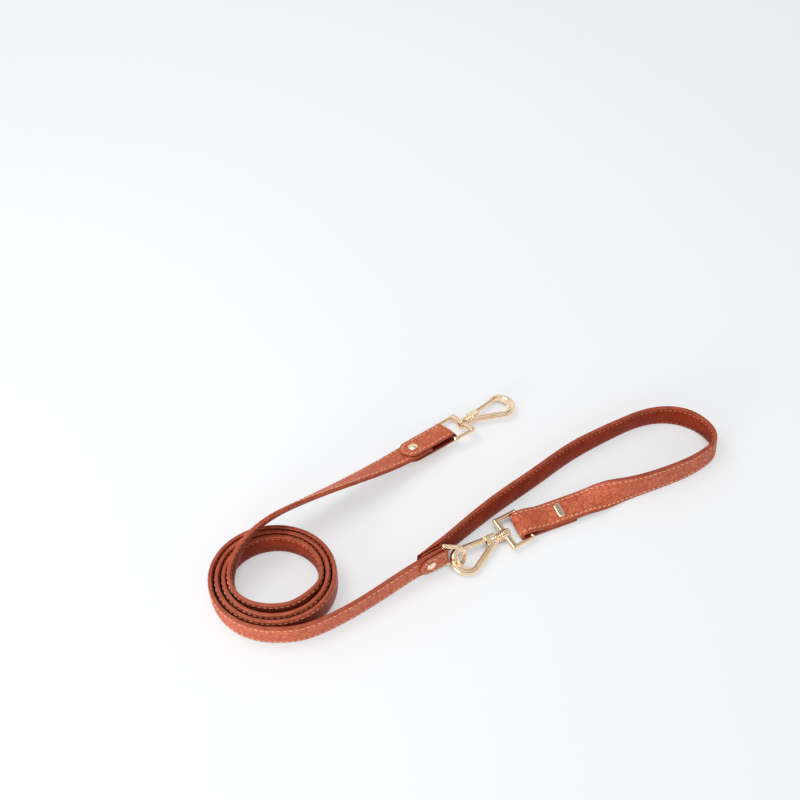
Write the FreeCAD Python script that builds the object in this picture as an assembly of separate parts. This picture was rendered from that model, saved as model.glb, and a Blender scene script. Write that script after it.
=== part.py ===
import FreeCAD, Part
import os
from math import acos, atan, ceil, cos, degrees, pi, radians, sin, sqrt, tan

V = FreeCAD.Vector
UP = V(0, 0, 1)

# Leather training leash, laid out on a table with its spare length coiled on edge.
# Millimetres, +Z up. The origin is on the table, at the middle of the laid-out leash.
# +X runs from the coil towards the bend of the handle.

# ---- driving dimensions ----
STRAP_WIDTH = 20.0
OUTER_LEATHER = 2.0          # embossed outer strip
LINING_LEATHER = 1.6         # smooth inner strip
STRAP = OUTER_LEATHER + LINING_LEATHER
HALF_WIDTH = STRAP_WIDTH / 2
HALF_STRAP = STRAP / 2
ARC_STEP = 15.0              # degrees of turn between two sections of a strap
ARC_SHARE = 0.45             # share of the shorter run that a corner's arc takes up

RIVET_CAP_R = 4.0
RIVET_CAP_H = 1.5
RIVET_POST_R = 1.5
RIVET_POST_END = 0.6         # length of the post inside the back cap
RIVET_SOCKET_H = 1.2
RIVET_SOCKET_ROUND = 0.6

BAR_R = 1.7                  # bars that leather is folded round
FOLD_R = 1.8                 # inside radius of the leather round a bar
TAB_LEATHER = 1.8            # single leather of the two folded tabs

RING_ROD_R = 1.5
RING_BAR_HALF = 11.9         # bar centre to the middle of a side rod
RING_BAR_SPARE = 0.3         # how far the thick part of the bar shows past the strap
RING_DEPTH = 15.0            # bar centre to the middle of the far rod
RING_CORNER_R = 5.5

EYE_HALF = 12.8              # middle of the eye to the middle of a side arm
EYE_DEPTH = 17.0             # bar centre to the middle of the front bar
EYE_ROD_R = 1.6
FRONT_BAR_DEEP = 4.4
FRONT_BAR_TALL = 4.0
FRONT_BAR_ROUND = 1.2
BOSS_R = 3.9
BOSS_ROUND = 0.6
POST_R = 2.2
POST_CLEARANCE = 0.06
POST_PLAY = 0.1              # end play of the swivel on each side of the front bar
WASHER_R = 3.4
WASHER_THICK = 0.8
HEAD_R = 3.0                 # peened head of the post
HEAD_TALL = 1.3
HEAD_CROWN_R = 1.6
HEAD_CROWN_TALL = 0.6

HOOK_LENGTH = 49.0           # middle of the eye's front bar to the outside of the nose
HOOK_ROD_R = 2.6
NOSE_R = 9.8                 # middle line of the round nose
NOSE_SIDE = -3.5             # from the post's line to the nose's middle, away from the gate
WEB_DEEP = 1.4               # flat web inside the nose
WEB_THICK = 2.4
COLLAR_R = 4.0
COLLAR_LONG = 1.0
NECK_R = 3.5
NECK_GROOVE_R = 2.9
NECK_RIB = 0.9               # width of one rib, and of one groove
NECK_RIBS = 4
NECK_TAPER = 1.8
NECK_TAIL = 3.4
NECK_TAIL_R = 2.0
GATE_ROD_R = 1.9
GATE_BAR_FROM = 5.0          # pivot to the start of the gate's round bar
GATE_LUG = 2.2
GATE_LUG_R = 2.4
GATE_LINK = (6.4, 3.4)       # length and width of the flat part between lug and bar
GATE_PIN_R = 0.9
PIN_CLEARANCE = 0.06
GATE_PIVOT = (12.6, 3.2)
GATE_ANGLE = 6.0
GATE_REACH = 23.6
GATE_END_GAP = 0.2
GATE_PIN_LONG = 5.4
MOUTH_FROM = 4.5             # nose's middle line to the side of the mouth's cut
DEEP = 20.0                  # depth of tools that cut right through the hook
NOSE_END = 100.0             # where the nose's bar ends, seen from the nose's middle
SPINE_START = (9.0, -1.0)
WEB_FROM = -80.0
WEB_TO = 50.0
CHEEK = (8.0, 6.6, 5.4)      # length, width and thickness of the block that holds the gate
CHEEK_CORNER = (8.0, -1.6)
CHEEK_ROUND = 1.2
SLOT_CORNER = -3.2           # gate's pivot to the near corner of its slot
SLOT = (14.0, 12.0)
SLOT_PLAY = 0.1
SPRING_ROOM = 0.9            # room beside the gate's lug for its spring
SPRING_R = 1.9
SPRING_LONG = 0.55
SPRING_GAP = 0.08
SPRING_PLAY = 0.05

# ---- coil ----
COIL_CENTRE = V(-148.0, -66.0, 0)
COIL_OUTER = (46.6, 42.6)    # half lengths along X and Y
COIL_HOLE = (33.4, 30.0)
COIL_HOLE_SHIFT = V(-0.3, 1.4, 0)

# ---- routes of the strap's middle line: x, y, z and lean ----
# The lean is the turn of the strap's width from upright, positive to the right of travel.
RING_RUN = [
    (-137.0, -107.0, 10.0, 0.0),
    (-126.5, -105.6, 10.0, 0.0),
    (-114.6, -101.6, 10.0, 0.0),
    (-101.6, -94.8, 10.0, 0.0),
    (-86.4, -85.6, 10.0, 0.0),
    (-71.0, -74.8, 10.4, -1.0),
    (-56.4, -64.8, 12.0, -1.0),
    (-41.8, -55.4, 13.5, -1.0),
    (-27.0, -46.5, 13.5, -1.0),
]
HOOK_RUN = [
    (-123.5, -85.5, 10.0, 0.0),
    (-134.0, -91.2, 10.0, 0.0),
    (-147.5, -92.6, 10.0, 0.0),
    (-160.5, -90.2, 10.0, 0.0),
    (-171.4, -83.4, 10.2, 0.0),
    (-177.8, -73.0, 12.2, 0.0),
    (-178.3, -62.0, 17.0, 2.0),
    (-174.6, -52.0, 24.0, 8.0),
    (-167.6, -42.2, 31.2, 16.0),
    (-158.0, -31.6, 33.6, 24.0),
    (-144.0, -19.4, 32.0, 30.0),
    (-122.4, -4.6, 27.0, 36.0),
    (-95.0, 13.6, 20.4, 48.0),
    (-69.0, 31.4, 14.8, 62.0),
    (-49.8, 45.9, 11.8, 70.0),
    (-37.4, 55.1, 10.6, 70.0),
]
HANDLE_RUN = [
    (-45.1, -50.8, 12.7, -1.0),
    (-33.6, -43.86, 12.7, -1.0),
    (-22.0, -34.6, 12.4, -5.0),
    (-3.2, -16.2, 11.0, -8.5),
    (18.4, 3.0, 10.2, -9.5),
    (45.6, 23.4, 10.2, -9.5),
    (74.8, 47.6, 10.2, -9.0),
    (101.2, 63.4, 10.1, -4.0),
    (119.4, 73.2, 10.1, -1.0),
    (133.6, 80.2, 10.0, 0.0),
    (148.0, 84.2, 10.0, 0.0),
    (162.4, 84.4, 10.0, 0.0),
    (175.0, 80.4, 10.0, 0.0),
    (185.4, 72.2, 10.1, 4.0),
    (191.6, 61.2, 10.2, 8.0),
    (189.6, 50.4, 10.2, 10.0),
    (178.6, 41.0, 10.2, 10.0),
    (162.4, 31.4, 10.2, 10.0),
    (135.0, 20.2, 10.2, 11.0),
    (118.0, 14.4, 10.2, 18.0),
    (106.8, 11.4, 9.6, 36.0),
    (96.8, 8.8, 7.4, 64.0),
    (86.3, 5.6, 5.5, 89.0),
    (75.3, 1.2, 5.5, 90.0),
]

# ---- the straight, flat end of the handle strap, folded round its hook's eye ----
HANDLE_END_ANGLE = 202.0     # direction of travel of the strap there
HANDLE_BAR = V(36.0, -14.7, FOLD_R + STRAP)
BAR_SLACK = 1.7              # the bar lies this far from the fold's middle
POCKET_FLAT = 5.0            # length of the pocket above the bar
POCKET_END = 13.0            # where the two legs of the fold meet
LEG_GAP = 0.05
FOLD_TOP = 44.0              # fold's middle to the start of the flat end
FOLD_LEG = 42.0              # fold's middle to the end of the turned-back leg
STUD_AT = 31.0
STUD_LONG = 13.0
STUD_WIDE = 5.6
STUD_TALL = 1.5
STUD_ROUND = 1.05

# ---- the two swivel hooks: direction and roll ----
HOOK_B_ANGLE = 211.0
HOOK_B_ROLL = 168.0
EYE_B_ROLL = 180.0
HOOK_B_TIP = 1.0             # its nose is lifted by the ring's lower rod
HOOK_A_ROLL = 12.0           # from its eye
HOOK_A_LEG = 43.0            # bar to the end of the tab
HOOK_A_RIVET = 32.0
HOOK_A_TAB_LEATHER = 2.0
HOOK_A_STRAP_END = 21.0      # bar to the end of the strap inside the tab

# ---- the ring ----
RING_LEG = 22.0
RING_RIVET = 12.5
LAP_GAP = 0.16               # room between the tab and the handle strap
RING_BAR_GAP = 2.2           # end of the strap to the middle of the ring's bar
RING_SWING = -36.0           # turn of the ring about its bar, from the strap's direction


# ---------- strap geometry ----------
class Section:
    """Place, direction and face direction of the strap at one point of its line."""

    def __init__(self, place, travel, lean):
        right = travel.cross(UP).normalize()
        above = right.cross(travel).normalize()
        angle = radians(lean)
        self.place = place
        self.across = above * cos(angle) + right * sin(angle)
        self.face = above * sin(angle) - right * cos(angle)

    def wire(self, low, high, half_width):
        """Rectangle from face offset low to high, over the strap's width."""
        corners = []
        for side, depth in ((-1, low), (1, low), (1, high), (-1, high)):
            corners.append(self.place + self.across * (side * half_width) + self.face * depth)
        corners.append(corners[0])
        return Part.makePolygon(corners)


def sections_along(route, name):
    """Sections on straight runs joined by tangent arcs, and the length of that line."""
    points = [V(*p[:3]) for p in route]
    leans = [p[3] for p in route]
    marks = [(points[0], (points[1] - points[0]).normalize(), 0.0)]
    length = 0.0
    smallest = None
    previous = points[0]
    for i in range(1, len(points) - 1):
        back = points[i - 1] - points[i]
        ahead = points[i + 1] - points[i]
        shorter = min(back.Length, ahead.Length)
        arriving = (back * -1).normalize()
        leaving = V(ahead).normalize()
        turn = acos(max(-1.0, min(1.0, arriving.dot(leaving))))
        reach = ARC_SHARE * shorter
        radius = reach / tan(turn / 2)
        smallest = radius if smallest is None else min(smallest, radius)
        start = points[i] - arriving * reach
        end = points[i] + leaving * reach
        length += (start - previous).Length + radius * turn
        previous = end
        centre = points[i] + (leaving - arriving).normalize() * (radius / cos(turn / 2))
        steps = max(1, ceil(degrees(turn) / ARC_STEP))
        spoke = start - centre
        axis = arriving.cross(leaving).normalize()
        for k in range(steps + 1):
            swing = FreeCAD.Rotation(axis, degrees(turn) * k / steps)
            share = i - ARC_SHARE + 2 * ARC_SHARE * k / steps
            marks.append((centre + swing.multVec(spoke), swing.multVec(arriving), share))
    length += (points[-1] - previous).Length
    marks.append((points[-1], (points[-1] - points[-2]).normalize(), len(points) - 1.0))
    sections = []
    for place, travel, share in marks:
        low = min(int(share), len(points) - 2)
        lean = leans[low] + (leans[low + 1] - leans[low]) * (share - low)
        sections.append(Section(place, travel, lean))
    print("%s: length %.1f mm, smallest bend radius %.1f mm" % (name, length, smallest))
    return sections, length


def strap_layer(sections, length, low, high, name):
    """One strip of leather between two face offsets along the sections."""
    wires = [s.wire(low, high, HALF_WIDTH) for s in sections]
    layer = Part.makeLoft(wires, True, True)
    expected = length * STRAP_WIDTH * (high - low)
    print("%s: volume %.0f mm3, section times length %.0f mm3" % (name, layer.Volume, expected))
    return layer


# ---------- placing ----------
def placed(shape, origin, x_axis, y_axis):
    """Move a shape from its own frame to the given origin and axes."""
    z_axis = x_axis.cross(y_axis)
    matrix = FreeCAD.Matrix(
        x_axis.x, y_axis.x, z_axis.x, origin.x,
        x_axis.y, y_axis.y, z_axis.y, origin.y,
        x_axis.z, y_axis.z, z_axis.z, origin.z,
        0, 0, 0, 1,
    )
    moved = shape.copy()
    moved.Placement = FreeCAD.Placement(matrix).multiply(moved.Placement)
    return moved


def level_axes(angle, roll):
    """X along angle, Y level and square to it, both rolled about X."""
    x_axis = V(cos(radians(angle)), sin(radians(angle)), 0)
    y_axis = V(-x_axis.y, x_axis.x, 0)
    turn = FreeCAD.Rotation(x_axis, roll)
    return x_axis, turn.multVec(y_axis)


def cylinder(radius, start, end):
    """Round bar from start to end."""
    return Part.makeCylinder(radius, (end - start).Length, start, end - start)


def prism(edges, height, down):
    """Solid of a closed flat outline, extruded along Z by height from -down."""
    face = Part.Face(Part.Wire(edges))
    solid = face.extrude(V(0, 0, height))
    solid.translate(V(0, 0, -down))
    return solid


def around(centre, radius, angle):
    """Point at an angle on a level circle."""
    return centre + V(cos(angle), sin(angle), 0) * radius


def flat_arc(centre, inner, outer, start, end, thick):
    """Flat band between two radii, from one angle to another in degrees."""
    angles = [radians(start), radians((start + end) / 2), radians(end)]
    near = [around(centre, inner, a) for a in angles]
    far = [around(centre, outer, a) for a in angles]
    edges = [arc(*near), line(near[2], far[2]), arc(*reversed(far)), line(far[0], near[0])]
    return prism(edges, thick, thick / 2)


def line(a, b):
    return Part.LineSegment(a, b).toShape()


def arc(a, b, c):
    return Part.Arc(a, b, c).toShape()


# ---------- rivets ----------
def rivet_cap(grip):
    """Domed cap with its post, the cap's flat side at Z 0 and the post down into the back cap."""
    ball_r = (RIVET_CAP_R ** 2 + RIVET_CAP_H ** 2) / (2 * RIVET_CAP_H)
    dome = Part.makeSphere(ball_r, V(0, 0, RIVET_CAP_H - ball_r))
    dome = dome.common(Part.makeCylinder(RIVET_CAP_R, RIVET_CAP_H))
    end = grip + RIVET_POST_END
    post = Part.makeCylinder(RIVET_POST_R, end, V(0, 0, -end))
    return dome.fuse(post).removeSplitter()


def rivet_socket(grip):
    """Flat back cap that closes on the post, on the far face of the leather."""
    bottom = -grip - RIVET_SOCKET_H
    disc = Part.makeCylinder(RIVET_CAP_R, RIVET_SOCKET_H, V(0, 0, bottom))
    edges = [e for e in disc.Edges if abs(e.CenterOfMass.z - bottom) < 0.01]
    disc = disc.makeFillet(RIVET_SOCKET_ROUND, edges)
    room = V(0, 0, -grip - RIVET_POST_END)
    return disc.cut(Part.makeCylinder(RIVET_POST_R, RIVET_POST_END, room))


# ---------- folded tabs ----------
def folded_tab(leg, leather, inner, rivet_at):
    """Leather folded round a bar on Z, legs towards -X with half-round ends, hole for a rivet."""
    outer = inner + leather
    edges = [
        line(V(-leg, inner, 0), V(0, inner, 0)),
        arc(V(0, inner, 0), V(inner, 0, 0), V(0, -inner, 0)),
        line(V(0, -inner, 0), V(-leg, -inner, 0)),
        line(V(-leg, -inner, 0), V(-leg, -outer, 0)),
        line(V(-leg, -outer, 0), V(0, -outer, 0)),
        arc(V(0, -outer, 0), V(outer, 0, 0), V(0, outer, 0)),
        line(V(0, outer, 0), V(-leg, outer, 0)),
        line(V(-leg, outer, 0), V(-leg, inner, 0)),
    ]
    folded = prism(edges, STRAP_WIDTH, HALF_WIDTH)
    end = leg - HALF_WIDTH
    rounding = Part.makeCylinder(HALF_WIDTH, 4 * outer, V(-end, -2 * outer, 0), V(0, 1, 0))
    body = Part.makeBox(leg + outer, 4 * outer, STRAP_WIDTH, V(-end, -2 * outer, -HALF_WIDTH))
    folded = folded.common(rounding.fuse(body))
    hole = Part.makeCylinder(RIVET_POST_R, 4 * outer, V(-rivet_at, -2 * outer, 0), V(0, 1, 0))
    return folded.cut(hole)


# ---------- hook pieces, in the hook's own frame ----------
# X runs from the middle of the eye's front bar to the nose, Z is square to the hook's plane.
def eye_frame():
    """Swivel eye: round rear bar, two side arms and a front bar with the boss of the swivel."""
    back = -EYE_DEPTH
    rear = cylinder(BAR_R, V(back, -EYE_HALF, 0), V(back, EYE_HALF, 0))
    frame = rear
    for side in (-1, 1):
        corner = V(back, side * EYE_HALF, 0)
        front = V(0, side * EYE_HALF, 0)
        frame = frame.fuse(Part.makeSphere(BAR_R, corner))
        frame = frame.fuse(cylinder(EYE_ROD_R, corner, front))
    span = 2 * (EYE_HALF + EYE_ROD_R)
    front_bar = Part.makeBox(
        FRONT_BAR_DEEP, span, FRONT_BAR_TALL,
        V(-FRONT_BAR_DEEP / 2, -span / 2, -FRONT_BAR_TALL / 2),
    )
    front_bar = front_bar.makeFillet(FRONT_BAR_ROUND, front_bar.Edges)
    boss = Part.makeCylinder(BOSS_R, FRONT_BAR_DEEP, V(-FRONT_BAR_DEEP / 2, 0, 0), V(1, 0, 0))
    rims = [e for e in boss.Edges if e.Curve.TypeId == "Part::GeomCircle"]
    boss = boss.makeFillet(BOSS_ROUND, rims)
    frame = frame.fuse(front_bar).fuse(boss)
    hole_r = POST_R + POST_CLEARANCE
    hole = Part.makeCylinder(hole_r, 3 * FRONT_BAR_DEEP, V(-FRONT_BAR_DEEP * 1.5, 0, 0), V(1, 0, 0))
    return frame.cut(hole)


def swivel_washer():
    """Washer between the eye and the peened head of the post."""
    start = -FRONT_BAR_DEEP / 2 - POST_PLAY - WASHER_THICK
    ring = Part.makeCylinder(WASHER_R, WASHER_THICK, V(start, 0, 0), V(1, 0, 0))
    hole = Part.makeCylinder(POST_R, 3 * WASHER_THICK, V(start - WASHER_THICK, 0, 0), V(1, 0, 0))
    return ring.cut(hole)


def neck_profile():
    """Half outline of post, head, collar and ribbed neck, to be turned about X."""
    head = -FRONT_BAR_DEEP / 2 - POST_PLAY - WASHER_THICK
    collar = FRONT_BAR_DEEP / 2 + POST_PLAY
    first = collar + COLLAR_LONG
    points = [
        V(head - HEAD_TALL, 0, 0), V(head - HEAD_TALL, HEAD_CROWN_R, 0),
        V(head - HEAD_TALL + HEAD_CROWN_TALL, HEAD_R, 0), V(head, HEAD_R, 0),
        V(head, POST_R, 0), V(collar, POST_R, 0), V(collar, COLLAR_R, 0), V(first, COLLAR_R, 0),
    ]
    for k in range(NECK_RIBS):
        at = first + 2 * NECK_RIB * k
        points += [V(at, NECK_GROOVE_R, 0), V(at + NECK_RIB, NECK_GROOVE_R, 0)]
        points += [V(at + NECK_RIB, NECK_R, 0), V(at + 2 * NECK_RIB, NECK_R, 0)]
    end = first + 2 * NECK_RIB * NECK_RIBS
    tail = end + NECK_TAIL
    points += [V(end + NECK_TAPER, HOOK_ROD_R, 0), V(tail, NECK_TAIL_R, 0), V(tail, 0, 0)]
    return points


def hook_body():
    """Post, ribbed neck, spine and round nose of the snap hook, open on the gate's side."""
    points = neck_profile()
    outline = Part.makePolygon(points + [points[0]])
    neck = Part.Face(outline).revolve(V(0, 0, 0), V(1, 0, 0), 360)
    nose = V(HOOK_LENGTH - HOOK_ROD_R - NOSE_R, NOSE_SIDE, 0)
    start = V(SPINE_START[0], SPINE_START[1], 0)
    gap = nose - start
    touch_angle = atan(gap.y / gap.x) - pi + acos(NOSE_R / gap.Length)
    end_angle = radians(NOSE_END)
    touch = around(nose, NOSE_R, touch_angle)
    tip = around(nose, NOSE_R, end_angle)
    nose_arc = arc(touch, around(nose, NOSE_R, (touch_angle + end_angle) / 2), tip)
    circle = Part.makeCircle(HOOK_ROD_R, start, touch - start)
    rod = Part.Wire([line(start, touch), nose_arc]).makePipeShell([Part.Wire([circle])], True, True)
    web = flat_arc(nose, NOSE_R - HOOK_ROD_R - WEB_DEEP, NOSE_R, WEB_FROM, WEB_TO, WEB_THICK)
    cheek = Part.makeBox(*CHEEK, V(CHEEK_CORNER[0], CHEEK_CORNER[1], -CHEEK[2] / 2))
    cheek = cheek.makeFillet(CHEEK_ROUND, [e for e in cheek.Edges if abs(e.tangentAt(0).x) > 0.9])
    body = neck.fuse(cheek).fuse(rod).fuse(web).fuse(Part.makeSphere(HOOK_ROD_R, start))
    pivot = V(GATE_PIVOT[0], GATE_PIVOT[1], 0)
    corner = pivot + V(SLOT_CORNER, SLOT_CORNER, -GATE_LUG / 2 - SLOT_PLAY)
    slot = Part.makeBox(*SLOT, GATE_LUG + SPRING_ROOM, corner)
    mouth = Part.makeCylinder(GATE_REACH + GATE_END_GAP, DEEP, pivot - UP * (DEEP / 2))
    side = Part.makeBox(DEEP, DEEP, DEEP, nose + V(-DEEP / 2, MOUTH_FROM, -DEEP / 2))
    pin = Part.makeCylinder(GATE_PIN_R, DEEP, pivot - UP * (DEEP / 2))
    return body.cut(slot).cut(mouth.common(side)).cut(pin)


def gate_solid():
    """Gate: round bar with a flat lug at its pivot, its end rounded about the pivot."""
    pivot = V(GATE_PIVOT[0], GATE_PIVOT[1], 0)
    along = V(cos(radians(GATE_ANGLE)), sin(radians(GATE_ANGLE)), 0)
    bar = cylinder(GATE_ROD_R, pivot + along * GATE_BAR_FROM, pivot + along * (GATE_REACH + DEEP))
    bar = bar.common(Part.makeCylinder(GATE_REACH, DEEP, pivot - UP * (DEEP / 2)))
    lug = Part.makeCylinder(GATE_LUG_R, GATE_LUG, pivot - UP * (GATE_LUG / 2))
    link = Part.makeBox(*GATE_LINK, GATE_LUG, V(0, -GATE_LINK[1] / 2, -GATE_LUG / 2))
    link = placed(link, pivot, along, UP.cross(along))
    hole = Part.makeCylinder(GATE_PIN_R + PIN_CLEARANCE, DEEP, pivot - UP * (DEEP / 2))
    return bar.fuse(lug).fuse(link).cut(hole)


def gate_pin():
    pivot = V(GATE_PIVOT[0], GATE_PIVOT[1], 0)
    return Part.makeCylinder(GATE_PIN_R, GATE_PIN_LONG, pivot - UP * (GATE_PIN_LONG / 2))


def gate_spring():
    """Closed coil of the gate's torsion spring, round the pin beside the lug."""
    pivot = V(GATE_PIVOT[0], GATE_PIVOT[1], 0)
    base = pivot + UP * (GATE_LUG / 2 + SPRING_GAP)
    coil = Part.makeCylinder(SPRING_R, SPRING_LONG, base)
    return coil.cut(Part.makeCylinder(GATE_PIN_R + SPRING_PLAY, SPRING_LONG, base))


def oval_stud(grip):
    """Plain oval stud with its post, the stud's flat side at Z 0."""
    half = STUD_LONG / 2 - STUD_WIDE / 2
    r = STUD_WIDE / 2
    edges = [
        line(V(r, -half, 0), V(r, half, 0)),
        arc(V(r, half, 0), V(0, half + r, 0), V(-r, half, 0)),
        line(V(-r, half, 0), V(-r, -half, 0)),
        arc(V(-r, -half, 0), V(0, -half - r, 0), V(r, -half, 0)),
    ]
    plate = prism(edges, STUD_TALL, 0)
    rim = [e for e in plate.Edges if abs(e.CenterOfMass.z - STUD_TALL) < 0.01]
    plate = plate.makeFillet(STUD_ROUND, rim)
    return plate.fuse(Part.makeCylinder(RIVET_POST_R, grip, V(0, 0, -grip)))


# ---------- the fold at the end of the handle strap ----------
def fold_layer(low, high):
    """One strip of the folded end: X away from the hook, Z up, the fold's middle at the origin."""
    drop = 2 * FOLD_R - LEG_GAP
    half_turn = atan(drop / (POCKET_END - POCKET_FLAT)) / 2
    upper = []
    lower = []
    for depth in (low, high):
        shift = depth * tan(half_turn)
        top = FOLD_R + depth
        meet = LEG_GAP - FOLD_R + depth
        upper.append([
            V(FOLD_TOP, 0, meet), V(POCKET_END + shift, 0, meet), V(POCKET_FLAT + shift, 0, top),
            V(0, 0, top),
        ])
        lower.append([V(0, 0, -top), V(FOLD_LEG, 0, -top)])
    edges = []
    for k in (0, 1):
        edges += [line(a, b) for a, b in zip(upper[k], upper[k][1:])]
        radius = FOLD_R + (low, high)[k]
        edges.append(arc(upper[k][-1], V(-radius, 0, 0), lower[k][0]))
        edges.append(line(lower[k][0], lower[k][1]))
    edges.append(line(upper[0][0], upper[1][0]))
    edges.append(line(lower[0][1], lower[1][1]))
    wire = Part.Wire(Part.__sortEdges__(edges))
    solid = Part.Face(wire).extrude(V(0, STRAP_WIDTH, 0))
    solid.translate(V(0, -HALF_WIDTH, 0))
    hole = Part.makeCylinder(RIVET_POST_R, DEEP, V(STUD_AT, 0, -DEEP / 2))
    return solid.cut(hole)


# ---------- the ring, in its own frame: bar on Z, far rod along +X ----------
def ring_solid():
    """D-ring with a straight bar, two side rods and a round-cornered far rod."""
    half = RING_BAR_HALF
    corner = RING_CORNER_R
    far = RING_DEPTH
    k = corner * (1 - sqrt(0.5))
    path = Part.Wire([
        line(V(0, 0, -half), V(far - corner, 0, -half)),
        arc(V(far - corner, 0, -half), V(far - k, 0, -half + k), V(far, 0, -half + corner)),
        line(V(far, 0, -half + corner), V(far, 0, half - corner)),
        arc(V(far, 0, half - corner), V(far - k, 0, half - k), V(far - corner, 0, half)),
        line(V(far - corner, 0, half), V(0, 0, half)),
    ])
    circle = Part.makeCircle(RING_ROD_R, V(0, 0, -half), V(1, 0, 0))
    bow = path.makePipeShell([Part.Wire([circle])], True, True)
    thick = HALF_WIDTH + RING_BAR_SPARE
    bar = cylinder(BAR_R, V(0, 0, -thick), V(0, 0, thick))
    ring = bow.fuse(bar).fuse(cylinder(RING_ROD_R, V(0, 0, -half), V(0, 0, half)))
    for side in (-1, 1):
        ring = ring.fuse(Part.makeSphere(RING_ROD_R, V(0, 0, side * half)))
    return ring


# ---------- the coil ----------
def coil_solid():
    """Outer shape of the coiled strap: an oval ring as tall as the strap is wide."""
    outer = Part.Face(Part.Wire([oval(COIL_CENTRE, COIL_OUTER)]))
    hole = Part.Face(Part.Wire([oval(COIL_CENTRE + COIL_HOLE_SHIFT, COIL_HOLE)]))
    return outer.cut(hole).extrude(V(0, 0, STRAP_WIDTH))


def oval(centre, halves):
    return Part.Ellipse(centre, halves[0], halves[1]).toShape()


# ---------- the leash ----------
def strap_parts(parts):
    """The strap's strips: run to the ring, coil, run to hook A and the handle."""
    ring, ring_length = sections_along(RING_RUN, "ring run")
    hook, hook_length = sections_along(HOOK_RUN, "hook run")
    handle, handle_length = sections_along(HANDLE_RUN, "handle run")
    split = HALF_STRAP - OUTER_LEATHER
    layers = [
        ("main_strap_ring_run_outer", ring, ring_length, -HALF_STRAP, -split),
        ("main_strap_ring_run_lining", ring, ring_length, -split, HALF_STRAP),
        ("main_strap_hook_run_outer", hook, hook_length, split, HALF_STRAP),
        ("main_strap_hook_run_lining", hook, hook_length, -HALF_STRAP, split),
        ("handle_strap_outer", handle, handle_length, split, HALF_STRAP),
        ("handle_strap_lining", handle, handle_length, -HALF_STRAP, split),
    ]
    for name, sections, length, low, high in layers:
        parts[name] = strap_layer(sections, length, low, high, name)
    parts["main_strap_coil"] = coil_solid()
    away = level_axes(HANDLE_END_ANGLE + 180, 0)
    middle = HANDLE_BAR - away[0] * BAR_SLACK
    parts["handle_end_fold_outer"] = placed(fold_layer(LINING_LEATHER, STRAP), middle, *away)
    parts["handle_end_fold_lining"] = placed(fold_layer(0, LINING_LEATHER), middle, *away)
    stud_place = middle + away[0] * STUD_AT + UP * (STRAP - FOLD_R + LEG_GAP)
    parts["handle_stud"] = placed(oval_stud(2 * STRAP), stud_place, *away)


class Frame:
    """Axes at the end of a strap: X along travel, Y through its face, Z over its width."""

    def __init__(self, route, ahead):
        last = V(*route[-1][:3])
        before = V(*route[-2][:3])
        end = Section(last, (last - before).normalize(), route[-1][3])
        self.x = (last - before).normalize()
        self.y = end.face
        self.z = end.across
        self.origin = last + self.x * ahead

    def at(self, x, y):
        return self.origin + self.x * x + self.y * y


def through_hole(parts, names, place, direction):
    """Cut a rivet's hole through the named pieces of leather."""
    hole = Part.makeCylinder(RIVET_POST_R, 2 * DEEP, place - direction * DEEP, direction)
    for name in names:
        parts[name] = parts[name].cut(hole)


def ring_parts(parts):
    """Ring, its folded tab and the rivet that holds the tab and both straps."""
    frame = Frame(RING_RUN, RING_BAR_GAP)
    tab = folded_tab(RING_LEG, TAB_LEATHER, FOLD_R, RING_RIVET)
    parts["ring_tab"] = placed(tab, frame.origin, frame.x, frame.y)
    swing = FreeCAD.Rotation(frame.z, RING_SWING)
    ring_x = swing.multVec(frame.x)
    parts["d_ring"] = placed(ring_solid(), frame.origin, ring_x, swing.multVec(frame.y))
    front = FOLD_R + TAB_LEATHER
    grip = 2 * front + STRAP + LAP_GAP
    place = frame.at(-RING_RIVET, -front)
    parts["ring_rivet_cap"] = placed(rivet_cap(grip), place, frame.x, frame.z)
    parts["ring_rivet_socket"] = placed(rivet_socket(grip), place, frame.x, frame.z)
    straps = [
        "main_strap_ring_run_outer", "main_strap_ring_run_lining",
        "handle_strap_outer", "handle_strap_lining",
    ]
    through_hole(parts, straps, place, frame.y)
    report_joint("d_ring", frame.origin, frame.z)


def hook_a_parts(parts):
    """Tab, rivet and swivel hook at the free end of the main strap."""
    frame = Frame(HOOK_RUN, HOOK_A_STRAP_END)
    tab = folded_tab(HOOK_A_LEG, HOOK_A_TAB_LEATHER, FOLD_R, HOOK_A_RIVET)
    parts["hook_a_tab"] = placed(tab, frame.origin, frame.x, frame.y)
    front = FOLD_R + HOOK_A_TAB_LEATHER
    grip = 2 * front
    place = frame.at(-HOOK_A_RIVET, front)
    side = frame.z * -1
    parts["hook_a_rivet_cap"] = placed(rivet_cap(grip), place, frame.x, side)
    parts["hook_a_rivet_socket"] = placed(rivet_socket(grip), place, frame.x, side)
    through_hole(parts, ["main_strap_hook_run_outer", "main_strap_hook_run_lining"], place, frame.y)
    turned = FreeCAD.Rotation(frame.x, HOOK_A_ROLL).multVec(side)
    swivel_hook(parts, "a", frame.origin, frame.x, side, turned)


def hook_b_parts(parts):
    """Swivel hook at the end of the handle strap."""
    level, side = level_axes(HOOK_B_ANGLE, EYE_B_ROLL)
    tip = FreeCAD.Rotation(side, HOOK_B_TIP)
    along = tip.multVec(level)
    turned = FreeCAD.Rotation(along, HOOK_B_ROLL - EYE_B_ROLL).multVec(side)
    swivel_hook(parts, "b", HANDLE_BAR, along, side, turned)


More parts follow.
